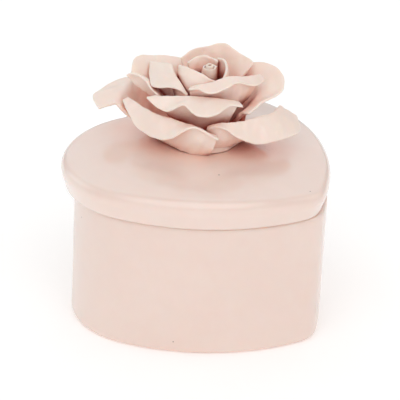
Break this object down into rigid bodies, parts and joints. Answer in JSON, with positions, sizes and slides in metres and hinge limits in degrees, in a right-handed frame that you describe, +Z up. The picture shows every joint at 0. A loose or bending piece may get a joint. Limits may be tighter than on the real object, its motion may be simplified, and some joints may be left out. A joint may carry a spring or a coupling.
{
  "type": "powder jar",
  "caption": "Heart-shaped pale pink satin-glazed ceramic powder jar with a loose domed lid whose handle is a hand-formed rose of thin clay petals.",
  "frame": {"origin": "middle of the jar's flat foot, at the centre of the heart's length and width", "axes": "+Z up, the heart's tip towards -Y and its two lobes towards +Y"},
  "size_m": [0.1016, 0.0936, 0.0962],
  "materials": {
    "jar_glaze": "satin",
    "lid_glaze": "satin",
    "rose_glaze": "satin"
  },
  "bodies": {
    "jar": {"jar_body": "jar_glaze"},
    "lid": {"bud_roll": "rose_glaze", "inner_petal_back": "rose_glaze", "inner_petal_front": "rose_glaze", "inner_petal_right": "rose_glaze", "lid": "lid_glaze", "outer_petal_back_left": "rose_glaze", "outer_petal_back_right": "rose_glaze", "outer_petal_left": "rose_glaze", "outer_petal_right": "rose_glaze", "rose_core": "rose_glaze", "second_petal_back": "rose_glaze", "second_petal_front": "rose_glaze", "second_petal_left": "rose_glaze", "second_petal_right": "rose_glaze", "third_petal_back_left": "rose_glaze", "third_petal_back_right": "rose_glaze", "third_petal_front": "rose_glaze", "third_petal_left": "rose_glaze", "third_petal_right": "rose_glaze"}
  },
  "joints": [
    {"name": "lid_lift", "type": "slide", "parent": "jar", "child": "lid", "axis": [0, 0, 1], "range_m": [0, 0.06]}
  ]
}
